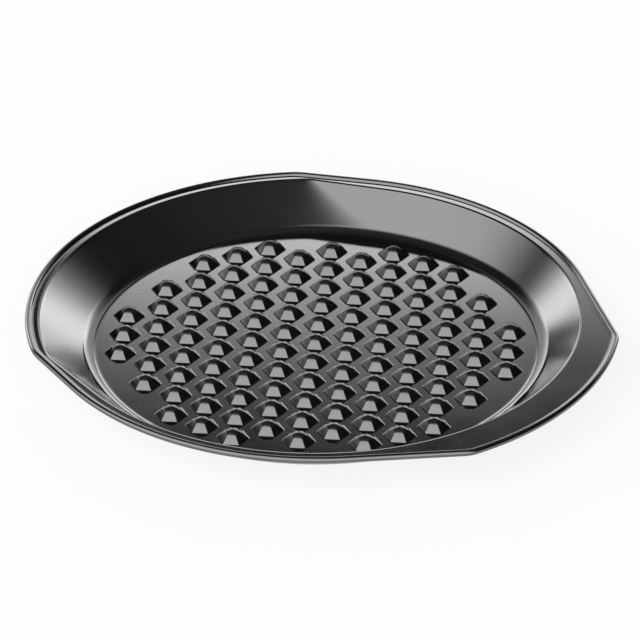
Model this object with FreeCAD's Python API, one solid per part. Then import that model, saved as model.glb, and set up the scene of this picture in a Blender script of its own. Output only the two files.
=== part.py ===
import FreeCAD, Part
import math
import os

from FreeCAD import Vector

# Round baking tray, pressed in one piece from coated steel sheet.
# The origin is the middle of its length and width, on the flat underside that it stands on.
# +X points to the wide tab, -X to the narrow ear, and +Z is up.
# Lengths are in millimetres and angles in degrees, and radii are from the pan's centre.

# Sheet
sheet_thickness = 0.5

# Pan, measured on its inner face
opening_radius = 142.0
pan_depth = 19.5
wall_slope = 45.9
base_fillet_radius = 10.0
lip_bend_radius = 1.0

# Flange, from the opening to the outside of the rolled edge
flange_width = 8.5

# Rolled edge: a tube-like curl about the flange's level, open underneath
bead_diameter = 3.6
bead_bend_radius = 0.5
curl_end_angle = 20.0

# Wide tab, which reaches past the round rim
tab_reach = 13.5
tab_half_angle = 25.65
tab_corner_radius = 15.0

# Narrow ear, which reaches past the round rim; the opening is drawn out there as well
ear_reach = 5.8
ear_half_angle = 51.0
ear_corner_radius = 30.0
ear_opening_reach = 6.6
ear_opening_spread = 2.3
ear_opening_corner_radius = 25.0

# Hexagonal bumps, pressed up in a triangular pattern
bump_pitch = 20.0
bump_gap = 5.0
bump_shoulder_width = 7.0
bump_crown_width = 4.0
bump_shoulder_height = 4.3
bump_crown_rise = 0.7
bump_field_margin = 3.0

# Lengths below this count as nothing
closeness = 1e-6

# Levels of the sheet
base_top = sheet_thickness
flange_top = base_top + pan_depth
flange_bottom = flange_top - sheet_thickness

# Reach of the rim and the opening from the pan's centre
rim_radius = opening_radius + flange_width
tab_radius = rim_radius + tab_reach
ear_radius = rim_radius + ear_reach
ear_opening_radius = opening_radius + ear_opening_reach
ear_opening_half_angle = ear_half_angle + ear_opening_spread

# The tab reaches further than the ear, so the pan's centre lies behind the origin
pan_centre = Vector((ear_radius - tab_radius) / 2, 0, 0)

# Foot of the wall: one fillet centre serves the inner and the outer face
wall_lean = math.radians(wall_slope)
wall_foot_radius = opening_radius - pan_depth / math.tan(wall_lean)
flat_base_radius = wall_foot_radius - base_fillet_radius * math.tan(wall_lean / 2)
fillet_centre_z = base_top + base_fillet_radius
outer_wall_offset = sheet_thickness * math.tan(wall_lean / 2)

# Rolled edge: radii of the sheet's middle line, and where it leaves the flange
bead_radius = bead_diameter / 2
curl_radius = bead_radius - sheet_thickness / 2
bend_radius = bead_bend_radius + sheet_thickness / 2
bend_reach = math.sqrt(curl_radius ** 2 + 2 * curl_radius * bend_radius)
bead_centre_z = flange_top - sheet_thickness / 2

# Bumps: distance from a bump's centre to a side and to a corner of its foot
corner_ratio = 1 / math.cos(math.radians(30))
bump_half_width = (bump_pitch - bump_gap) / 2
bump_corner_radius = bump_half_width * corner_ratio

UP = Vector(0, 0, 1)
ORIGIN = Vector(0, 0, 0)


def polar(radius, angle):
    """Plane coordinates of a point at a radius and an angle."""
    turn = math.radians(angle)
    return radius * math.cos(turn), radius * math.sin(turn)


def arc_edge(centre, radius, start, end, frame):
    """Arc about a centre; frame turns two plane coordinates into a point of space."""
    points = []
    for angle in (start, (start + end) / 2, end):
        across, along = polar(radius, angle)
        points.append(frame(centre[0] + across, centre[1] + along))
    return Part.Arc(*points).toShape()


def upright(x, z):
    """Point of the X-Z plane, where sections are drawn."""
    return Vector(x, 0, z)


def level(z):
    """Frame for outlines drawn at a height."""
    return lambda x, y: Vector(x, y, z)


def straight(start, end):
    """Straight edge between two points of the X-Z plane."""
    return Part.LineSegment(upright(*start), upright(*end)).toShape()


# Outlines seen from above.
# Each is a list of arcs (centre, radius, start, end) that all turn the same way.
# A straight flank joins two arcs wherever their ends lie apart.

def lobe_arcs(round_radius, lobe_radius, half_angle, corner_radius, middle):
    """Corner, outer arc and corner of a lobe, and the angle where its flanks leave the round.

    The flanks are tangent to the round outline and would meet the lobe's outer arc at
    half_angle from its middle, if the corners were sharp.
    """
    flank = half_angle + math.degrees(math.acos(round_radius / lobe_radius))
    reach = lobe_radius - corner_radius
    corner = flank - math.degrees(math.acos((round_radius - corner_radius) / reach))
    first = (polar(reach, middle - corner), corner_radius, middle - flank, middle - corner)
    outer = ((0, 0), lobe_radius, middle - corner, middle + corner)
    last = (polar(reach, middle + corner), corner_radius, middle + corner, middle + flank)
    return [first, outer, last], flank


def rim_arcs():
    """Middle line of the rolled edge: round, with the wide tab and the narrow ear."""
    round_radius = rim_radius - bead_radius
    tab, tab_flank = lobe_arcs(
        round_radius, tab_radius - bead_radius, tab_half_angle, tab_corner_radius, 0)
    ear, ear_flank = lobe_arcs(
        round_radius, ear_radius - bead_radius, ear_half_angle, ear_corner_radius, 180)
    left = ((0, 0), round_radius, tab_flank, 180 - ear_flank)
    right = ((0, 0), round_radius, 180 + ear_flank, 360 - tab_flank)
    return tab + [left] + ear + [right]


def opening_arcs():
    """Edge of the pan at the flange: round, and drawn out at the ear."""
    ear, flank = lobe_arcs(
        opening_radius, ear_opening_radius, ear_opening_half_angle,
        ear_opening_corner_radius, 180)
    return [((0, 0), opening_radius, flank - 180, 180 - flank)] + ear


def offset(arcs, distance):
    """The same outline, moved outwards by a distance."""
    return [(centre, radius + distance, start, end) for centre, radius, start, end in arcs]


def outline_edges(arcs, z):
    """Arc edges and flank edges of an outline at a height; each flank has its arc's end angle."""
    arc_edges = [arc_edge(*arc, level(z)) for arc in arcs]
    flanks = []
    for edge, following, arc in zip(arc_edges, arc_edges[1:] + arc_edges[:1], arcs):
        start, end = edge.Vertexes[-1].Point, following.Vertexes[0].Point
        if start.distanceToPoint(end) > closeness:
            flanks.append((Part.LineSegment(start, end).toShape(), arc[3]))
    return arc_edges, flanks


def outline_wire(arcs, z):
    """Closed wire of an outline at a height."""
    arc_edges, flanks = outline_edges(arcs, z)
    return Part.Wire(Part.__sortEdges__(arc_edges + [edge for edge, angle in flanks]))


def closed_solid(faces):
    """Solid inside faces that close a volume."""
    shell = Part.makeShell(faces)
    shell.sewShape()
    solid = Part.makeSolid(Part.makeShell(shell.Faces))
    if solid.Volume < 0:
        solid.reverse()
    return solid


# Pan and flange

def fillet_end(fillet_radius):
    """Point of the section where the wall leaves the base fillet, on a face of that radius."""
    x = flat_base_radius + fillet_radius * math.sin(wall_lean)
    z = fillet_centre_z - fillet_radius * math.cos(wall_lean)
    return x, z


def turned_foot(fillet_radius):
    """Turned solid inside the base and its fillet, up to the foot of the wall."""
    bottom = (flat_base_radius, fillet_centre_z - fillet_radius)
    end = fillet_end(fillet_radius)
    fillet = arc_edge(
        (flat_base_radius, fillet_centre_z), fillet_radius, -90, -90 + wall_slope, upright)
    section = Part.Wire([
        straight((0, bottom[1]), bottom),
        fillet,
        straight(end, (0, end[1])),
        straight((0, end[1]), (0, bottom[1])),
    ])
    return Part.Face(section).revolve(ORIGIN, UP, 360)


def wall_solid(fillet_radius, arcs, top):
    """Solid inside the wall, from its round foot up to the outline of the opening.

    Each arc of the outline rises from the part of the foot with the same angles, so the wall
    is a cone in the round part and in the ear, and flat below each straight flank.
    """
    foot_radius, foot_z = fillet_end(fillet_radius)
    foot_edges = [arc_edge((0, 0), foot_radius, arc[2], arc[3], level(foot_z)) for arc in arcs]
    arc_edges, flanks = outline_edges(arcs, top)
    faces = [Part.Face(Part.Wire(foot_edges)), Part.Face(outline_wire(arcs, top))]
    for arc, foot_edge, top_edge in zip(arcs, foot_edges, arc_edges):
        if arc[0] == (0, 0):
            rise = Part.LineSegment(foot_edge.Vertexes[0].Point, top_edge.Vertexes[0].Point)
            faces.append(rise.toShape().revolve(ORIGIN, UP, arc[3] - arc[2]))
        else:
            faces.append(Part.makeRuledSurface(foot_edge, top_edge))
    for flank, angle in flanks:
        foot = level(foot_z)(*polar(foot_radius, angle))
        ends = [vertex.Point for vertex in flank.Vertexes]
        faces.append(Part.Face(Part.makePolygon([foot] + ends + [foot])))
    return closed_solid(faces)


def opening_edges(shape, z):
    """Edges round the opening on the flat ring of the flange at a height."""
    for face in shape.Faces:
        box = face.BoundBox
        if len(face.Wires) == 2 and box.ZLength < closeness and abs(box.ZMin - z) < closeness:
            return min(face.Wires, key=lambda wire: wire.BoundBox.DiagonalLength).Edges
    raise ValueError("the flange has no flat ring at this height")


def dish():
    """Flat base, fillet, wall and flange of the pan."""
    outer_radius = base_fillet_radius + sheet_thickness
    outline = opening_arcs()
    flange_face = Part.Face(outline_wire(offset(rim_arcs(), -bend_reach), flange_bottom))
    flange = flange_face.extrude(Vector(0, 0, sheet_thickness))
    outside = wall_solid(outer_radius, offset(outline, outer_wall_offset), flange_bottom)
    filled = outside.fuse([turned_foot(outer_radius), flange])
    inside = wall_solid(base_fillet_radius, outline, flange_top)
    sheet = filled.cut([inside, turned_foot(base_fillet_radius)]).removeSplitter().Solids[0]
    sheet = sheet.makeFillet(
        lip_bend_radius + sheet_thickness, opening_edges(sheet, flange_top))
    return sheet.makeFillet(lip_bend_radius, opening_edges(sheet, flange_bottom))


# Rolled edge

def curl_section():
    """Closed section of the curl about its centre: bend, curl and free end of one sheet."""
    half = sheet_thickness / 2
    lean = math.degrees(math.asin(bend_radius / (curl_radius + bend_radius)))
    joint = 180 - lean
    free_end = curl_end_angle - 180
    bend_centre = (-bend_reach, bend_radius)
    inner = curl_radius - half
    return Part.Wire([
        arc_edge(bend_centre, bend_radius - half, -90, -lean, upright),
        arc_edge((0, 0), bead_radius, joint, free_end, upright),
        straight(polar(bead_radius, free_end), polar(inner, free_end)),
        arc_edge((0, 0), inner, free_end, joint, upright),
        arc_edge(bend_centre, bend_radius + half, -lean, -90, upright),
        straight((-bend_reach, -half), (-bend_reach, half)),
    ])


def rolled_edge():
    """The curl, swept once round the rim from the first corner of the tab."""
    arcs = rim_arcs()
    path = outline_wire(arcs, bead_centre_z)
    centre, radius, start, end = arcs[0]
    section = curl_section()
    section.rotate(ORIGIN, UP, start)
    across, along = polar(radius, start)
    section.translate(Vector(centre[0] + across, centre[1] + along, bead_centre_z))
    return path.makePipeShell([section], True, True)


# Bumped base

def bump_levels():
    """Half width and height of the bump's foot, shoulder and crown, on the upper face."""
    shoulder_z = base_top + bump_shoulder_height
    return [
        (bump_half_width, base_top),
        (bump_shoulder_width / 2, shoulder_z),
        (bump_crown_width / 2, shoulder_z + bump_crown_rise),
    ]


def hollow_levels():
    """The same levels on the underside, one sheet thickness behind every face."""
    levels = bump_levels()
    slopes = [0.0]
    for (low_half, low_z), (high_half, high_z) in zip(levels, levels[1:]):
        slopes.append(math.atan2(high_z - low_z, low_half - high_half))
    slopes.append(0.0)
    moved = []
    for (half, z), below, above in zip(levels, slopes, slopes[1:]):
        lean = (below + above) / 2
        reach = sheet_thickness / math.cos((below - above) / 2)
        moved.append((half - reach * math.sin(lean), z - reach * math.cos(lean)))
    return moved


def hexagon(half_width, z, centre):
    """Corners of a hexagon with two sides across Y, first corner repeated at the end."""
    corners = [polar(half_width * corner_ratio, 30 + 60 * count) for count in range(7)]
    return [centre + Vector(x, y, z) for x, y in corners]


def pressed_faces(levels, centre):
    """Flat faces of one bump or hollow, from its foot to its crown."""
    rings = [hexagon(half, z, centre) for half, z in levels]
    faces = [Part.Face(Part.makePolygon(rings[-1]))]
    for low, high in zip(rings, rings[1:]):
        for side in range(6):
            corners = [low[side], low[side + 1], high[side + 1], high[side], low[side]]
            faces.append(Part.Face(Part.makePolygon(corners)))
    return faces


def bump_centres():
    """Points of the triangular pattern whose bump lies wholly on the flat base."""
    limit = flat_base_radius - bump_field_margin - bump_corner_radius
    row_height = bump_pitch * math.sin(math.radians(60))
    rows = int(limit / row_height)
    columns = int(limit / bump_pitch) + rows
    centres = []
    for row in range(-rows, rows + 1):
        for column in range(-columns, columns + 1):
            centre = Vector((column + row / 2) * bump_pitch, row * row_height, 0)
            if centre.Length <= limit:
                centres.append(centre)
    return centres


def press_bumps(sheet):
    """The sheet with both faces of its flat base exchanged for bumped ones."""
    centres = bump_centres()
    faces = [face for face in sheet.Faces if face.BoundBox.ZMax > base_top + closeness]
    for levels in (bump_levels(), hollow_levels()):
        foot_half, foot_z = levels[0]
        edge = Part.Wire(Part.makeCircle(flat_base_radius, Vector(0, 0, foot_z)))
        feet = [Part.makePolygon(hexagon(foot_half, foot_z, centre)) for centre in centres]
        faces.append(Part.makeFace([edge] + feet, "Part::FaceMakerBullseye"))
        for centre in centres:
            faces.extend(pressed_faces(levels, centre))
    return closed_solid(faces)


def main():
    os.makedirs("parts", exist_ok=True)
    tray = press_bumps(dish().fuse(rolled_edge()))
    tray.translate(pan_centre)
    tray.exportStep(os.path.join("parts", "baking_tray.step"))
    print("bumps", len(bump_centres()))
    print("volume", round(tray.Volume), "valid", tray.isValid(), "solids", len(tray.Solids))


main()
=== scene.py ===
import math

import bmesh
import bpy
from bpy.props import FloatProperty, FloatVectorProperty, PointerProperty
from bpy.types import Operator, Panel, PropertyGroup
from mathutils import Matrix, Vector


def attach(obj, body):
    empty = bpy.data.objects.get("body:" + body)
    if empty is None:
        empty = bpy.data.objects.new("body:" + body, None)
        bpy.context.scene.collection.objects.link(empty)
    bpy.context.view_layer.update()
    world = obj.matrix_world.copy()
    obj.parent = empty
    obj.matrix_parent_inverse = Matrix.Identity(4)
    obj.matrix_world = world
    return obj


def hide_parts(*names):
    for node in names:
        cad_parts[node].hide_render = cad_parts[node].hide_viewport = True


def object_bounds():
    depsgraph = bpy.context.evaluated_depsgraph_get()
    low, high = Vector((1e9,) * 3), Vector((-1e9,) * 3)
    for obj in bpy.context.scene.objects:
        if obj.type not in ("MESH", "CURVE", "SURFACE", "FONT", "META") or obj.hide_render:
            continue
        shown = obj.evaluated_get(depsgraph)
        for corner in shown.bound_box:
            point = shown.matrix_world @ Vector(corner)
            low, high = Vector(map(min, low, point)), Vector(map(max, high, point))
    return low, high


bl_info = {
    "name": "Round baking tray",
    "version": (1, 0, 0),
    "blender": (4, 5, 0),
    "location": "3D View > Sidebar > Baking tray",
    "description": "Presses a round baking tray from one coated sheet and sets its studio",
    "category": "Object",
}

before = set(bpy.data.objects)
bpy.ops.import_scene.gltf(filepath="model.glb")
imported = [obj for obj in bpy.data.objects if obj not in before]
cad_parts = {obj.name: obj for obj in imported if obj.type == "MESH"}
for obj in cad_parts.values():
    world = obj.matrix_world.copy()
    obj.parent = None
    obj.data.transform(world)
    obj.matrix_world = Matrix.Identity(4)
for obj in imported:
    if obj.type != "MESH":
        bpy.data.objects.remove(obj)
cad_low, cad_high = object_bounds()

NODE = "baking_tray"
BODY = "root"


# Sizes of the tray

class TraySizes(PropertyGroup):
    """Sizes of the pressed sheet; radii are from the pan's centre."""

    sheet_thickness: FloatProperty(
        name="Sheet thickness", description="Thickness of the steel sheet",
        default=0.0005, precision=5, unit="LENGTH")
    opening_radius: FloatProperty(
        name="Opening radius", description="Round edge of the pan at the flange",
        default=0.142, precision=4, unit="LENGTH")
    wall_slope: FloatProperty(
        name="Wall slope", description="Slope of the pan's wall above the level",
        default=math.radians(45.9), subtype="ANGLE")
    base_fillet_radius: FloatProperty(
        name="Base fillet", description="Inner radius between the base and the wall",
        default=0.010, precision=4, unit="LENGTH")
    lip_width: FloatProperty(
        name="Lip", description="Width that the rounded lip takes of the wall and of the flange",
        default=0.00064, precision=5, unit="LENGTH")
    flange_width: FloatProperty(
        name="Flange width", description="From the opening to the outside of the rolled edge",
        default=0.0085, precision=4, unit="LENGTH")
    bead_diameter: FloatProperty(
        name="Bead diameter", description="Outer diameter of the rolled edge",
        default=0.0036, precision=4, unit="LENGTH")
    bead_bend_radius: FloatProperty(
        name="Bead bend", description="Inner radius of the bend where the bead leaves the flange",
        default=0.0005, precision=5, unit="LENGTH")
    curl_end_angle: FloatProperty(
        name="Curl end", description="Angle below the flange where the curl's free end stops",
        default=math.radians(20.0), subtype="ANGLE")
    tab_half_angle: FloatProperty(
        name="Tab half angle", description="From the tab's middle to its sharp corner",
        default=math.radians(25.65), subtype="ANGLE")
    tab_corner_radius: FloatProperty(
        name="Tab corner", description="Radius of the tab's corners",
        default=0.015, precision=4, unit="LENGTH")
    ear_reach: FloatProperty(
        name="Ear reach", description="How far the ear reaches past the round rim",
        default=0.0058, precision=4, unit="LENGTH")
    ear_half_angle: FloatProperty(
        name="Ear half angle", description="From the ear's middle to its sharp corner",
        default=math.radians(51.0), subtype="ANGLE")
    ear_corner_radius: FloatProperty(
        name="Ear corner", description="Radius of the ear's corners",
        default=0.030, precision=4, unit="LENGTH")
    ear_opening_reach: FloatProperty(
        name="Ear opening reach", description="How far the opening is drawn out at the ear",
        default=0.0066, precision=4, unit="LENGTH")
    ear_opening_half_angle: FloatProperty(
        name="Ear opening half angle", description="From its middle to its sharp corner",
        default=math.radians(53.3), subtype="ANGLE")
    ear_opening_corner_radius: FloatProperty(
        name="Ear opening corner", description="Radius of the opening's corners at the ear",
        default=0.025, precision=4, unit="LENGTH")


class BumpSizes(PropertyGroup):
    """Sizes of one pressed bump and of the pattern."""

    pitch: FloatProperty(
        name="Pitch", description="Distance between the middles of two bumps",
        default=0.020, precision=4, unit="LENGTH")
    gap: FloatProperty(
        name="Gap", description="Flat sheet between the feet of two bumps",
        default=0.005, precision=4, unit="LENGTH")
    height: FloatProperty(
        name="Height", description="Height of the crown above the base",
        default=0.0053, precision=4, unit="LENGTH")
    slope: FloatProperty(
        name="Slope", description="Slope of the six flat sides",
        default=math.radians(47.0), subtype="ANGLE")
    crown_width: FloatProperty(
        name="Crown width", description="Width of the nearly flat top of the dome",
        default=0.0010, precision=4, unit="LENGTH")
    crown_slope: FloatProperty(
        name="Crown slope", description="Slope where the crown meets the shoulder",
        default=math.radians(4.0), subtype="ANGLE")
    foot_fillet: FloatProperty(
        name="Foot fillet", description="Radius between the base and the sides",
        default=0.0010, precision=4, unit="LENGTH")
    edge_radius: FloatProperty(
        name="Edge radius", description="Radius of the edges between two sides",
        default=0.0008, precision=5, unit="LENGTH")
    field_margin: FloatProperty(
        name="Field margin", description="Flat sheet between the last feet and the base fillet",
        default=0.003, precision=4, unit="LENGTH")


class CoatingFinish(PropertyGroup):
    """Look of the baked-on coating."""

    colour: FloatVectorProperty(
        name="Colour", description="Colour that the coating reflects",
        default=(0.15, 0.15, 0.153), subtype="COLOR", min=0, max=1)
    roughness: FloatProperty(
        name="Roughness", description="Roughness of the coating where it is smoothest",
        default=0.055, min=0, max=1)
    roughest: FloatProperty(
        name="Roughest", description="Roughness of the coating where it is roughest",
        default=0.08, min=0, max=1)
    wall_roughness: FloatProperty(
        name="Wall roughness", description="Added on the wall, where the coating was drawn",
        default=0.12, min=0, max=1)
    patch_size: FloatProperty(
        name="Patch size", description="Size of the smoother and rougher patches",
        default=0.03, precision=3, unit="LENGTH")
    grain_size: FloatProperty(
        name="Grain size", description="Size of the grain in the coating's surface",
        default=0.0008, precision=4, unit="LENGTH")
    grain_height: FloatProperty(
        name="Grain height", description="Height of the grain in the coating's surface",
        default=0.000003, precision=6, unit="LENGTH")


class StudioSettings(PropertyGroup):
    """Camera, floor and lamps."""

    view_azimuth: FloatProperty(
        name="View azimuth", description="Turn of the camera from the view along +Y",
        default=math.radians(35.055), subtype="ANGLE")
    view_elevation: FloatProperty(
        name="View elevation", description="Height of the camera above the level",
        default=math.radians(30.5), subtype="ANGLE")
    view_distance: FloatProperty(
        name="View distance", description="From the camera to the point that it looks at",
        default=2.4525, unit="LENGTH")
    lens: FloatProperty(
        name="Lens", description="Focal length, in millimetres", default=253.34)
    floor_colour: FloatVectorProperty(
        name="Floor colour", description="Colour of the studio floor",
        default=(1, 1, 1), subtype="COLOR", min=0, max=1)
    floor_glow: FloatProperty(
        name="Floor glow", description="Share of the floor's white that no shadow takes",
        default=0.86, min=0, max=1)
    soft_light: FloatProperty(
        name="Soft light", description="Level of the large soft light on the viewer's side",
        default=2.25, min=0)
    backdrop_light: FloatProperty(
        name="Backdrop light", description="Level of the bright backdrop",
        default=4.3, min=0)
    ceiling_light: FloatProperty(
        name="Ceiling light", description="Level of the dim light overhead",
        default=0.1, min=0)


def sizes():
    """Sizes of the sheet, as the panel holds them."""
    return bpy.context.scene.tray_sizes


def bump_sizes():
    """Sizes of the bumps, as the panel holds them."""
    return bpy.context.scene.bump_sizes


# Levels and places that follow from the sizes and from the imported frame

def base_top():
    """Height of the base's upper face."""
    return cad_low.z + sizes().sheet_thickness


def bead_centre_z():
    """Height of the bead's middle: its top is the highest of the tray."""
    return cad_high.z - sizes().bead_diameter / 2


def flange_top():
    """Height of the flange's upper face: the bead stands about the sheet's middle level."""
    return bead_centre_z() + sizes().sheet_thickness / 2


def rim_radius():
    """Outside of the round rim."""
    return sizes().opening_radius + sizes().flange_width


def ear_radius():
    """Outside of the ear."""
    return rim_radius() + sizes().ear_reach


def pan_centre():
    """The ear ends at the frame's low X end."""
    return Vector((cad_low.x + ear_radius(), (cad_low.y + cad_high.y) / 2, 0))


def tab_radius():
    """The tab ends at the frame's high X end."""
    return cad_high.x - pan_centre().x


def flat_base_radius():
    """Where the base ends and its fillet starts."""
    pan_depth = flange_top() - base_top()
    foot_radius = sizes().opening_radius - pan_depth / math.tan(sizes().wall_slope)
    return foot_radius - sizes().base_fillet_radius * math.tan(sizes().wall_slope / 2)


def polar(radius, angle):
    """Point at a radius and an angle from +X."""
    return Vector((radius * math.cos(angle), radius * math.sin(angle), 0))


# Outlines seen from above: arcs (centre, radius, start, end) that all turn the same way

PAN_MIDDLE = Vector((0, 0, 0))


def lobe_arcs(round_radius, lobe_radius, half_angle, corner_radius, middle):
    """Corner, outer arc and corner of a lobe, and the angle where its flanks leave the round."""
    flank = half_angle + math.acos(round_radius / lobe_radius)
    reach = lobe_radius - corner_radius
    corner = flank - math.acos((round_radius - corner_radius) / reach)
    first = (polar(reach, middle - corner), corner_radius, middle - flank, middle - corner)
    outer = (PAN_MIDDLE, lobe_radius, middle - corner, middle + corner)
    last = (polar(reach, middle + corner), corner_radius, middle + corner, middle + flank)
    return [first, outer, last], flank


def rim_arcs():
    """Middle line of the rolled edge: round, with the wide tab and the narrow ear."""
    size = sizes()
    bead_radius = size.bead_diameter / 2
    round_radius = rim_radius() - bead_radius
    tab, tab_flank = lobe_arcs(
        round_radius, tab_radius() - bead_radius, size.tab_half_angle, size.tab_corner_radius, 0)
    ear, ear_flank = lobe_arcs(
        round_radius, ear_radius() - bead_radius, size.ear_half_angle,
        size.ear_corner_radius, math.pi)
    left = (PAN_MIDDLE, round_radius, tab_flank, math.pi - ear_flank)
    right = (PAN_MIDDLE, round_radius, math.pi + ear_flank, 2 * math.pi - tab_flank)
    return tab + [left] + ear + [right]


def opening_arcs():
    """Edge of the pan at the flange: round, and drawn out at the ear."""
    size = sizes()
    ear, flank = lobe_arcs(
        size.opening_radius, size.opening_radius + size.ear_opening_reach,
        size.ear_opening_half_angle, size.ear_opening_corner_radius, math.pi)
    return [(PAN_MIDDLE, size.opening_radius, flank - math.pi, math.pi - flank)] + ear


def foot_arcs(radius):
    """The round foot of the wall, divided at the same angles as the opening."""
    return [(PAN_MIDDLE, radius, start, end) for _, _, start, end in opening_arcs()]


def arc_point(arc, angle):
    """Point of an arc at an angle."""
    return arc[0] + polar(arc[1], angle)


# Working in edit mode

# Length of a step along an outline, and the fewest steps along one arc
STEP_LENGTH = 0.0026
CORNER_STEPS = 12
# Corners nearer than this are merged; a place is on a line or level when it is this close
MERGE_DISTANCE = 2e-6
CLOSE = 5e-6
# Spin turns clockwise about its axis
SPIN_AXIS = (0, 0, -1)


def new_sheet(name):
    """Empty mesh object, open in edit mode."""
    bpy.ops.object.select_all(action="DESELECT")
    bpy.ops.mesh.primitive_plane_add(size=1)
    sheet = bpy.context.object
    sheet.name = name
    sheet.data.name = name
    bpy.ops.object.mode_set(mode="EDIT")
    bpy.ops.mesh.select_all(action="SELECT")
    bpy.ops.mesh.delete(type="VERT")
    return sheet


def edited_mesh():
    """The mesh that is open in edit mode."""
    return bmesh.from_edit_mesh(bpy.context.object.data)


def show_edits():
    """Hands what code has changed or selected to the operators."""
    bmesh.update_edit_mesh(bpy.context.object.data)


def select_edges(test):
    """Selects the edges that pass a test, and nothing else."""
    bpy.ops.mesh.select_mode(type="EDGE")
    bpy.ops.mesh.select_all(action="DESELECT")
    for edge in edited_mesh().edges:
        if test(edge):
            edge.select_set(True)
    show_edits()


def select_corners(test):
    """Selects the mesh corners whose place passes a test, and nothing else."""
    bpy.ops.mesh.select_mode(type="VERT")
    bpy.ops.mesh.select_all(action="DESELECT")
    for corner in edited_mesh().verts:
        if test(corner.co):
            corner.select_set(True)
    edited_mesh().select_flush(True)
    show_edits()


def draw_chain(points):
    """Adds a chain of edges through points and leaves only it selected."""
    bpy.ops.mesh.select_mode(type="EDGE")
    bpy.ops.mesh.select_all(action="DESELECT")
    edited = edited_mesh()
    corners = [edited.verts.new(point) for point in points]
    for start, end in zip(corners, corners[1:]):
        edited.edges.new((start, end)).select_set(True)
    show_edits()


def merge_all():
    """Merges the corners that lie on each other."""
    bpy.ops.mesh.select_mode(type="VERT")
    bpy.ops.mesh.select_all(action="SELECT")
    bpy.ops.mesh.remove_doubles(threshold=MERGE_DISTANCE)


def steps_round(arcs):
    """Number of steps along each arc of an outline."""
    return [max(CORNER_STEPS, round(arc[1] * (arc[3] - arc[2]) / STEP_LENGTH)) for arc in arcs]


def sweep(section, arcs, steps):
    """Sweeps a section of points (distance outside the outline, height) round an outline."""
    outwards = polar(1, arcs[0][2])
    start = arc_point(arcs[0], arcs[0][2])
    draw_chain([start + outwards * out + Vector((0, 0, z)) for out, z in section])
    for arc, following, count in zip(arcs, arcs[1:] + arcs[:1], steps):
        bpy.ops.mesh.spin(
            steps=count, angle=arc[3] - arc[2], center=arc[0], axis=SPIN_AXIS,
            use_auto_merge=False)
        flank = arc_point(following, following[2]) - arc_point(arc, arc[3])
        if flank.length > CLOSE:
            bpy.ops.mesh.extrude_region_move(TRANSFORM_OT_translate={"value": flank})
    merge_all()


# Bumped base

FACETS = 6
# Distance of a hexagon's corner from its middle, over that of its side
TO_CORNER = 1 / math.cos(math.pi / FACETS)
# Each rounded corner of a ring has two segments, so a side of the cell gets two cuts
CORNER_SEGMENTS = 2
# A narrow level border keeps the shading of the foot off the flat sheet
FOOT_BORDER = 0.0001
FOOT_RINGS = 2
SHOULDER_RINGS = 6
# Corner radius of the crown's rings, over their half width
ROUNDEST = 0.8
# Rings of flat sheet are bridged at stepped heights and flattened afterwards
BRIDGE_DROP = 0.001
ROW_ANGLE = math.radians(60)


def bump_profile():
    """Half width, height and edge radius of the bump's rings, from its foot to its crown."""
    size = bump_sizes()
    slope, crown_slope = size.slope, size.crown_slope
    foot_half = (size.pitch - size.gap) / 2
    crown_half = size.crown_width / 2
    foot_start = foot_half + size.foot_fillet * math.tan(slope / 2)
    border_start = foot_start + FOOT_BORDER
    rings = [(border_start, -BRIDGE_DROP, size.edge_radius + border_start - foot_half)]
    for ring in range(FOOT_RINGS + 1):
        turn = slope * ring / FOOT_RINGS
        half = foot_start - size.foot_fillet * math.sin(turn)
        rise = size.foot_fillet * (1 - math.cos(turn))
        rings.append((half, rise, size.edge_radius + max(half - foot_half, 0)))
    # The shoulder is an arc from the flat side to the crown's arc, whose tip is at the height
    crown_radius = crown_half / math.sin(crown_slope)
    crown_rise = crown_radius * (1 - math.cos(crown_slope))
    across = math.sin(slope) - math.sin(crown_slope)
    up = math.cos(crown_slope) - math.cos(slope)
    sharp_height = foot_half * math.tan(slope)
    shoulder_half = (
        (sharp_height - crown_half * up / across - size.height + crown_rise)
        / (math.tan(slope) - up / across))
    shoulder_radius = (shoulder_half - crown_half) / across
    shoulder_rise = (foot_half - shoulder_half) * math.tan(slope)
    for ring in range(SHOULDER_RINGS + 1):
        part = ring / SHOULDER_RINGS
        turn = slope + (crown_slope - slope) * part
        half = shoulder_half - shoulder_radius * (math.sin(slope) - math.sin(turn))
        rise = shoulder_rise + shoulder_radius * (math.cos(turn) - math.cos(slope))
        edge_radius = size.edge_radius + (ROUNDEST * half - size.edge_radius) * part
        rings.append((half, rise, edge_radius))
    # The last ring lies halfway along the crown's arc
    half = crown_radius * math.sin(crown_slope / 2)
    rise = size.height - crown_radius * (1 - math.cos(crown_slope / 2))
    rings.append((half, rise, ROUNDEST * half))
    return rings


def add_hexagon(half_width, z):
    """Adds a hexagon with two of its sides across X."""
    bpy.ops.mesh.select_mode(type="VERT")
    bpy.ops.mesh.select_all(action="DESELECT")
    bpy.ops.mesh.primitive_circle_add(
        vertices=FACETS, radius=half_width * TO_CORNER, location=(0, 0, z))


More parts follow.
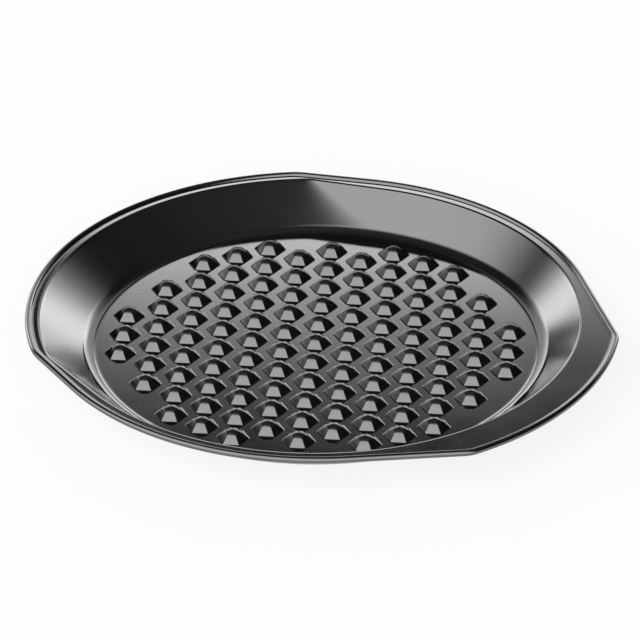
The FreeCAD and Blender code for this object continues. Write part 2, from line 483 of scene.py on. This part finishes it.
def press_cell():
    """Models one bump in its hexagonal cell of flat sheet, about the origin."""
    level = base_top()
    half_cell = bump_sizes().pitch / 2

    def is_last_ring(edge):
        inside = all(corner.co.xy.length < half_cell - CLOSE for corner in edge.verts)
        return edge.is_boundary and inside

    add_hexagon(half_cell, level - 2 * BRIDGE_DROP)
    bpy.ops.mesh.subdivide(number_cuts=CORNER_SEGMENTS)
    for half_width, rise, edge_radius in bump_profile():
        add_hexagon(half_width, level + rise)
        bpy.ops.mesh.bevel(
            offset=edge_radius * math.tan(math.pi / FACETS), offset_type="OFFSET",
            segments=CORNER_SEGMENTS, affect="VERTICES", clamp_overlap=False)
        select_edges(lambda edge: edge.is_wire or is_last_ring(edge))
        bpy.ops.mesh.bridge_edge_loops()
    select_edges(is_last_ring)
    bpy.ops.mesh.edge_face_add()
    bpy.ops.mesh.poke()
    select_corners(lambda place: place.xy.length < CLOSE)
    crown_tip = level + bump_sizes().height
    bpy.ops.transform.translate(value=(0, 0, crown_tip - (level + rise)))
    select_corners(lambda place: place.z < level + CLOSE)
    bpy.ops.transform.resize(value=(1, 1, 0), center_override=(0, 0, level))


def bump_places():
    """Points of the triangular pattern whose bump lies wholly on the flat base."""
    size = bump_sizes()
    limit = flat_base_radius() - size.field_margin - (size.pitch - size.gap) / 2 * TO_CORNER
    row_height = size.pitch * math.sin(ROW_ANGLE)
    rows = int(limit / row_height)
    columns = int(limit / size.pitch) + rows
    places = []
    for row in range(-rows, rows + 1):
        for column in range(-columns, columns + 1):
            place = Vector(((column + row / 2) * size.pitch, row * row_height, 0))
            if place.length <= limit:
                places.append(place)
    return places


def press_base():
    """All the bumps, each in its cell, joined where the cells meet."""
    sheet = new_sheet("bumped_base")
    press_cell()
    bpy.ops.mesh.select_all(action="SELECT")
    last = Vector((0, 0, 0))
    for place in bump_places():
        if place.length > CLOSE:
            bpy.ops.mesh.duplicate_move(TRANSFORM_OT_translate={"value": place - last})
            last = place
    merge_all()
    bpy.ops.object.mode_set(mode="OBJECT")
    return sheet


# Wall

FILLET_STEPS = 10
LIP_STEPS = 4
# Strip of level sheet beside the fillet, the lip and the bead, wider than the lip takes
BORDER = 0.001
# The lip is rounded where wall and flange meet at more than this
SHARP_EDGE = math.radians(20)


def on_arc(edge, arc, z):
    """Whether an edge lies on an arc at a height."""
    centre, radius, start, end = arc
    for corner in edge.verts:
        from_centre = corner.co - centre
        if abs(corner.co.z - z) > CLOSE or abs(from_centre.xy.length - radius) > CLOSE:
            return False
    middle = (edge.verts[0].co + edge.verts[1].co) / 2 - centre
    return (math.atan2(middle.y, middle.x) - start) % (2 * math.pi) < end - start


def draw_wall():
    """Base fillet, wall and rounded lip; the wall is drawn out at the ear."""
    size = sizes()
    sheet = new_sheet("drawn_wall")
    level, top = base_top(), flange_top()
    fillet = [(-BORDER, level)]
    for step in range(FILLET_STEPS + 1):
        turn = size.wall_slope * step / FILLET_STEPS
        fillet.append((
            size.base_fillet_radius * math.sin(turn),
            level + size.base_fillet_radius * (1 - math.cos(turn))))
    edge_arcs = opening_arcs()
    steps = steps_round(edge_arcs)
    sweep(fillet, foot_arcs(flat_base_radius()), steps)
    sweep([(0, top), (BORDER, top)], edge_arcs, steps)
    foot_out, foot_z = fillet[-1]
    lower_arcs = foot_arcs(flat_base_radius() + foot_out)
    for lower, upper, following in zip(lower_arcs, edge_arcs, edge_arcs[1:] + edge_arcs[:1]):
        select_edges(lambda edge: on_arc(edge, lower, foot_z) or on_arc(edge, upper, top))
        bpy.ops.mesh.bridge_edge_loops()
        foot = arc_point(lower, lower[3]) + Vector((0, 0, foot_z))
        ends = [arc_point(upper, upper[3]), arc_point(following, following[2])]
        if (ends[0] - ends[1]).length > CLOSE:
            facet = [foot] + [end + Vector((0, 0, top)) for end in ends]
            select_corners(lambda place: any((place - point).length < CLOSE for point in facet))
            bpy.ops.mesh.edge_face_add()
    select_edges(lambda edge: edge.is_manifold and edge.calc_face_angle() > SHARP_EDGE
                 and all(abs(corner.co.z - top) < CLOSE for corner in edge.verts))
    bpy.ops.mesh.bevel(
        offset=size.lip_width, offset_type="OFFSET", segments=LIP_STEPS, affect="EDGES",
        clamp_overlap=False)
    bpy.ops.object.mode_set(mode="OBJECT")
    return sheet


# Rolled edge

BEND_STEPS = 3
CURL_STEPS = 18


def curl_section():
    """Upper and outer face of the sheet, from the flange over the bend to the free end."""
    size = sizes()
    half_sheet = size.sheet_thickness / 2
    bead_radius = size.bead_diameter / 2
    curl_radius = bead_radius - half_sheet
    bend_radius = size.bead_bend_radius + half_sheet
    reach = math.sqrt(curl_radius ** 2 + 2 * curl_radius * bend_radius)
    lean = math.asin(bend_radius / (curl_radius + bend_radius))
    middle = bead_centre_z()
    section = [(-reach - BORDER, middle + half_sheet)]
    for step in range(BEND_STEPS):
        turn = (math.pi / 2 - lean) * step / BEND_STEPS
        section.append((
            -reach + size.bead_bend_radius * math.sin(turn),
            middle + bend_radius - size.bead_bend_radius * math.cos(turn)))
    joint = math.pi - lean
    free_end = size.curl_end_angle - math.pi
    for step in range(CURL_STEPS + 1):
        turn = joint + (free_end - joint) * step / CURL_STEPS
        section.append((bead_radius * math.cos(turn), middle + bead_radius * math.sin(turn)))
    return section


def roll_edge():
    """The curl, swept round the tab, the ear and the round rim."""
    sheet = new_sheet("rolled_edge")
    arcs = rim_arcs()
    sweep(curl_section(), arcs, steps_round(arcs))
    bpy.ops.object.mode_set(mode="OBJECT")
    return sheet


# The whole sheet

SMOOTH_ANGLE = math.radians(40)


def fill_level(z):
    """Fills the flat sheet between the open edges at a height."""
    select_edges(lambda edge: edge.is_boundary and all(
        abs(corner.co.z - z) < CLOSE for corner in edge.verts))
    bpy.ops.mesh.fill(use_beauty=True)


def apply_modifier(kind, **values):
    """Adds a modifier with its values to the active object and applies it."""
    bpy.ops.object.modifier_add(type=kind)
    modifier = bpy.context.object.modifiers[-1]
    for name, value in values.items():
        setattr(modifier, name, value)
    bpy.ops.object.modifier_apply(modifier=modifier.name)


def join_sheet(pieces):
    """Joins base, wall and edge to one sheet in its place, upper face outwards."""
    bpy.ops.object.select_all(action="DESELECT")
    for piece in pieces:
        piece.select_set(True)
    bpy.context.view_layer.objects.active = pieces[0]
    bpy.ops.object.join()
    sheet = bpy.context.object
    sheet.name = "tray_sheet"
    sheet.data.name = "tray_sheet"
    bpy.ops.object.mode_set(mode="EDIT")
    fill_level(base_top())
    fill_level(flange_top())
    merge_all()
    bpy.ops.mesh.normals_make_consistent(inside=False)
    if not upper_face_outwards():
        bpy.ops.mesh.flip_normals()
    bpy.ops.transform.translate(value=pan_centre())
    bpy.ops.object.mode_set(mode="OBJECT")
    return sheet


def upper_face_outwards():
    """Whether the flat faces of the base look up."""
    level = base_top()
    flat = [face for face in edited_mesh().faces
            if all(abs(corner.co.z - level) < CLOSE for corner in face.verts)]
    return sum(face.normal.z * face.calc_area() for face in flat) > 0


# Nodes shared by the coating, the floor and the lamps

def noise_node(tree, place, size, detail):
    """Noise of a given size, read at a place."""
    noise = tree.nodes.new("ShaderNodeTexNoise")
    noise.inputs["Scale"].default_value = 1 / size
    noise.inputs["Detail"].default_value = detail
    tree.links.new(place, noise.inputs["Vector"])
    return noise.outputs["Fac"]


def feed(tree, sockets, values):
    """Links each socket to its value, or sets it where the value is a number."""
    for socket, value in zip(sockets, values):
        if isinstance(value, (int, float)):
            socket.default_value = value
        else:
            tree.links.new(value, socket)


def math_node(tree, operation, *values):
    """One sum, product or other operation on sockets and numbers."""
    node = tree.nodes.new("ShaderNodeMath")
    node.operation = operation
    feed(tree, node.inputs, values)
    return node.outputs[0]


def mix_node(tree, share, first, second):
    """The first value where the share is 0, the second where it is 1."""
    node = tree.nodes.new("ShaderNodeMix")
    node.data_type = "FLOAT"
    feed(tree, (node.inputs[0], *node.inputs[2:4]), (share, first, second))
    return node.outputs[0]


def fade_node(tree, value, low, high):
    """Grows smoothly from 0 to 1 between two values, which may also fall."""
    node = tree.nodes.new("ShaderNodeMapRange")
    node.interpolation_type = "SMOOTHSTEP"
    node.inputs["From Min"].default_value = low
    node.inputs["From Max"].default_value = high
    tree.links.new(value, node.inputs["Value"])
    return node.outputs["Result"]


def ramp_node(tree, value, stops):
    """A level for each value, straight between stops (value, level)."""
    ramp = tree.nodes.new("ShaderNodeValToRGB")
    elements = ramp.color_ramp.elements
    elements.remove(elements[-1])
    elements[0].position = stops[0][0]
    for position, _ in stops[1:]:
        elements.new(position)
    for element, (_, level) in zip(elements, stops):
        element.color = (level, level, level, 1)
    tree.links.new(value, ramp.inputs[0])
    return ramp.outputs[0]


# Coating

# Heights between which the duller wall starts and ends, as shares of the pan's depth
WALL_STARTS = (0.02, 0.2)
WALL_ENDS = (0.99, 0.93)
# Noise values where the gloss is highest and lowest, and the detail of the two noises
GLOSS_RANGE = (0.3, 0.7)
PATCH_DETAIL = 4
GRAIN_DETAIL = 1


def wall_share(tree, place):
    """Grows to 1 on the wall, by height, and is 0 on the base and on the flange."""
    parts = tree.nodes.new("ShaderNodeSeparateXYZ")
    tree.links.new(place, parts.inputs[0])
    depth = flange_top() - base_top()
    fades = [
        fade_node(tree, parts.outputs["Z"], base_top() + low * depth, base_top() + high * depth)
        for low, high in (WALL_STARTS, WALL_ENDS)]
    return math_node(tree, "MULTIPLY", *fades)


def coating():
    """Glossy dark coating: very fine grain, slightly uneven gloss, duller on the drawn wall."""
    finish = bpy.context.scene.coating_finish
    material = bpy.data.materials.new("dark_coating")
    material.use_nodes = True
    tree = material.node_tree
    nodes, links = tree.nodes, tree.links
    shader = nodes["Principled BSDF"]
    shader.inputs["Base Color"].default_value = (*finish.colour, 1)
    shader.inputs["Metallic"].default_value = 1
    place = nodes.new("ShaderNodeTexCoord").outputs["Object"]
    gloss = nodes.new("ShaderNodeMapRange")
    links.new(noise_node(tree, place, finish.patch_size, PATCH_DETAIL), gloss.inputs["Value"])
    gloss.inputs["From Min"].default_value, gloss.inputs["From Max"].default_value = GLOSS_RANGE
    gloss.inputs["To Min"].default_value = finish.roughness
    gloss.inputs["To Max"].default_value = finish.roughest
    roughness = math_node(
        tree, "MULTIPLY_ADD", wall_share(tree, place), finish.wall_roughness,
        gloss.outputs["Result"])
    links.new(roughness, shader.inputs["Roughness"])
    grain = nodes.new("ShaderNodeBump")
    grain.inputs["Distance"].default_value = finish.grain_height
    links.new(noise_node(tree, place, finish.grain_size, GRAIN_DETAIL), grain.inputs["Height"])
    links.new(grain.outputs["Normal"], shader.inputs["Normal"])
    return material


# Pieces

class TRAY_OT_press_sheet(Operator):
    """Presses the tray from one sheet: bumped base, wall, flange and rolled edge"""

    bl_idname = "tray.press_sheet"
    bl_label = "Press the tray's sheet"

    def execute(self, context):
        sheet = join_sheet([press_base(), draw_wall(), roll_edge()])
        apply_modifier(
            "SOLIDIFY", thickness=sizes().sheet_thickness, offset=-1, use_even_offset=True)
        bpy.ops.object.shade_smooth_by_angle(angle=SMOOTH_ANGLE)
        apply_modifier("WEIGHTED_NORMAL", keep_sharp=True)
        sheet.data.materials.clear()
        sheet.data.materials.append(coating())
        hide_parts(NODE)
        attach(sheet, BODY)
        return {"FINISHED"}


class TRAY_OT_set_studio(Operator):
    """Adds the floor, the lamps and the camera"""

    bl_idname = "tray.set_studio"
    bl_label = "Set the studio"

    def execute(self, context):
        lay_floor()
        hang_lamps()
        place_camera()
        return {"FINISHED"}


# Studio

FLOOR_RADIUS = 15
FLOOR_SIDES = 96
# The point that the camera looks at
AIM = (-0.0161, 0.0213, 0.0005)
# The large soft light on the viewer's left: the way to it and where its edge fades
SOFT_LIGHT_WAY = (-0.575, -0.80, -0.173)
SOFT_LIGHT_FADE = (-0.008, 0.35)
# Share of full light on the backdrop against height over distance: straight behind the tray,
# beside that, and further out
BACKDROP_MIDDLE = (
    (0, 0.1), (0.20, 0.25), (0.47, 0.3), (0.51, 1.0), (0.540, 0.97), (0.552, 0.87),
    (0.560, 0.74), (0.569, 0.57), (0.579, 0.4), (0.590, 0.235), (0.600, 0.14), (0.610, 0.07),
    (0.619, 0.03), (0.632, 0))
BACKDROP_BESIDE = (
    (0, 0.5), (0.10, 0.55), (0.20, 0.6), (0.30, 0.5), (0.40, 0.35), (0.50, 0.27), (0.64, 0.25),
    (0.68, 0.22), (0.75, 0.14), (0.82, 0.05), (1, 0))
BACKDROP_OUTER = (
    (0, 0.75), (0.10, 1.0), (0.20, 1.0), (0.30, 1.0), (0.40, 0.95), (0.53, 0.46), (0.62, 0.3),
    (0.69, 0.19), (0.74, 0.13), (0.82, 0.08), (0.92, 0.02), (1, 0))
# Where each gives way to the next, as sideways over distance
MIDDLE_ENDS = ((0.080, 0.092), (-0.082, -0.092))
BESIDE_ENDS = ((0.40, 0.60), (-0.60, -0.85))
# Before the middle ends it goes dark on the left and gets dimmer on the right
DARK_GAP_STARTS = (-0.058, -0.064)
DIM_SIDE_STARTS = (0.053, 0.062)
DIM_SIDE = 0.6
# The backdrop's slanted lower edges: slope against sideways, and height straight behind the tray
BACKDROP_EDGES = ((-0.85, 0.374), (0.80, 0.62))
EDGE_FADE = 0.03
# Least distance, for what lies beside the tray or on the viewer's side
NO_DISTANCE = 0.001
# Light that comes from everywhere
ROOM_LIGHT = 0.02
# The ceiling's light fades away from straight above with this power of the height
CEILING_POWER = 3
# Below the level the world is as white as the floor
FLOOR_LINE = (0, -0.02)


def lay_floor():
    """White paper that keeps a soft shadow of the tray."""
    settings = bpy.context.scene.studio_settings
    bpy.ops.object.select_all(action="DESELECT")
    bpy.ops.mesh.primitive_circle_add(
        vertices=FLOOR_SIDES, radius=FLOOR_RADIUS, fill_type="NGON")
    floor = bpy.context.object
    floor.name = "studio_floor"
    material = bpy.data.materials.new("floor_paper")
    material.use_nodes = True
    tree = material.node_tree
    nodes, links = tree.nodes, tree.links
    paper = nodes["Principled BSDF"]
    paper.inputs["Base Color"].default_value = (*settings.floor_colour, 1)
    paper.inputs["Roughness"].default_value = 1
    paper.inputs["Specular IOR Level"].default_value = 0
    white = nodes.new("ShaderNodeEmission")
    path = nodes.new("ShaderNodeLightPath").outputs
    seen = math_node(tree, "MAXIMUM", path["Is Camera Ray"], path["Is Glossy Ray"])
    seen = math_node(tree, "MAXIMUM", seen, path["Is Transmission Ray"])
    mix = nodes.new("ShaderNodeMixShader")
    links.new(math_node(tree, "MULTIPLY", seen, settings.floor_glow), mix.inputs[0])
    links.new(paper.outputs[0], mix.inputs[1])
    links.new(white.outputs[0], mix.inputs[2])
    links.new(mix.outputs[0], nodes["Material Output"].inputs["Surface"])
    floor.data.materials.append(material)


def backdrop_share(tree, across, height):
    """Share of full light on the backdrop, by height over distance and sideways over distance."""
    middle, beside, outer = [
        ramp_node(tree, height, stops)
        for stops in (BACKDROP_MIDDLE, BACKDROP_BESIDE, BACKDROP_OUTER)]
    level = mix_node(tree, fade_node(tree, across, *DIM_SIDE_STARTS), 1, DIM_SIDE)
    level = mix_node(tree, fade_node(tree, across, *DARK_GAP_STARTS), level, 0)
    lit = math_node(tree, "MULTIPLY", middle, level)
    for fade in MIDDLE_ENDS:
        lit = mix_node(tree, fade_node(tree, across, *fade), lit, beside)
    for fade in BESIDE_ENDS:
        lit = mix_node(tree, fade_node(tree, across, *fade), lit, outer)
    for slope, start in BACKDROP_EDGES:
        above = math_node(tree, "ADD", height, math_node(tree, "MULTIPLY_ADD", across, slope, start))
        lit = math_node(tree, "MULTIPLY", lit, fade_node(tree, above, -EDGE_FADE, EDGE_FADE))
    return lit


def hang_lamps():
    """All light comes from far off: a soft light, the backdrop, the ceiling and the room."""
    settings = bpy.context.scene.studio_settings
    world = bpy.data.worlds.new("studio_world")
    bpy.context.scene.world = world
    world.use_nodes = True
    tree = world.node_tree
    nodes, links = tree.nodes, tree.links
    way = nodes.new("ShaderNodeTexCoord").outputs["Generated"]
    turn = nodes.new("ShaderNodeMapping")
    turn.vector_type = "VECTOR"
    turn.inputs["Rotation"].default_value = (0, 0, -settings.view_azimuth)
    links.new(way, turn.inputs["Vector"])
    parts = nodes.new("ShaderNodeSeparateXYZ")
    links.new(turn.outputs[0], parts.inputs[0])
    right, back, up = parts.outputs
    toward = nodes.new("ShaderNodeVectorMath")
    toward.operation = "DOT_PRODUCT"
    links.new(turn.outputs[0], toward.inputs[0])
    toward.inputs[1].default_value = SOFT_LIGHT_WAY
    soft = fade_node(tree, toward.outputs["Value"], *SOFT_LIGHT_FADE)
    light = math_node(tree, "MULTIPLY", soft, settings.soft_light)
    distance = math_node(tree, "MAXIMUM", back, NO_DISTANCE)
    share = backdrop_share(
        tree, math_node(tree, "DIVIDE", right, distance), math_node(tree, "DIVIDE", up, distance))
    light = math_node(tree, "MULTIPLY_ADD", share, settings.backdrop_light, light)
    overhead = math_node(tree, "POWER", math_node(tree, "MAXIMUM", up, 0), CEILING_POWER)
    overhead = math_node(tree, "MULTIPLY_ADD", overhead, settings.ceiling_light, ROOM_LIGHT)
    light = math_node(tree, "ADD", light, overhead)
    light = mix_node(tree, fade_node(tree, up, *FLOOR_LINE), light, 1)
    background = nodes["Background"]
    background.inputs["Color"].default_value = (1, 1, 1, 1)
    links.new(light, background.inputs["Strength"])


def place_camera():
    """The camera looks down at the tray, with the tab on the right."""
    settings = bpy.context.scene.studio_settings
    azimuth, elevation = settings.view_azimuth, settings.view_elevation
    back = Vector((
        math.sin(azimuth) * math.cos(elevation),
        -math.cos(azimuth) * math.cos(elevation),
        math.sin(elevation)))
    bpy.ops.object.camera_add(location=Vector(AIM) + back * settings.view_distance)
    camera = bpy.context.object
    camera.name = "studio_camera"
    camera.rotation_euler = (-back).to_track_quat("-Z", "Y").to_euler()
    camera.data.lens = settings.lens
    bpy.context.scene.camera = camera
    bpy.context.scene.view_settings.view_transform = "Standard"


class TRAY_PT_panel(Panel):
    """Lists the steps that make the tray and its studio"""

    bl_label = "Baking tray"
    bl_space_type = "VIEW_3D"
    bl_region_type = "UI"
    bl_category = "Baking tray"

    def draw(self, context):
        scene = context.scene
        for group in (scene.tray_sizes, scene.bump_sizes, scene.coating_finish,
                      scene.studio_settings):
            box = self.layout.box()
            for name in group.__annotations__:
                box.prop(group, name)
        self.layout.operator(TRAY_OT_press_sheet.bl_idname)
        self.layout.operator(TRAY_OT_set_studio.bl_idname)


CLASSES = (
    TraySizes,
    BumpSizes,
    CoatingFinish,
    StudioSettings,
    TRAY_OT_press_sheet,
    TRAY_OT_set_studio,
    TRAY_PT_panel,
)


def register():
    for cls in CLASSES:
        bpy.utils.register_class(cls)
    bpy.types.Scene.tray_sizes = PointerProperty(type=TraySizes)
    bpy.types.Scene.bump_sizes = PointerProperty(type=BumpSizes)
    bpy.types.Scene.coating_finish = PointerProperty(type=CoatingFinish)
    bpy.types.Scene.studio_settings = PointerProperty(type=StudioSettings)


def unregister():
    del bpy.types.Scene.studio_settings
    del bpy.types.Scene.coating_finish
    del bpy.types.Scene.bump_sizes
    del bpy.types.Scene.tray_sizes
    for cls in reversed(CLASSES):
        bpy.utils.unregister_class(cls)


def main():
    """Makes the tray and its studio."""
    register()
    bpy.ops.tray.press_sheet()
    bpy.ops.tray.set_studio()


if __name__ == "__main__":
    main()
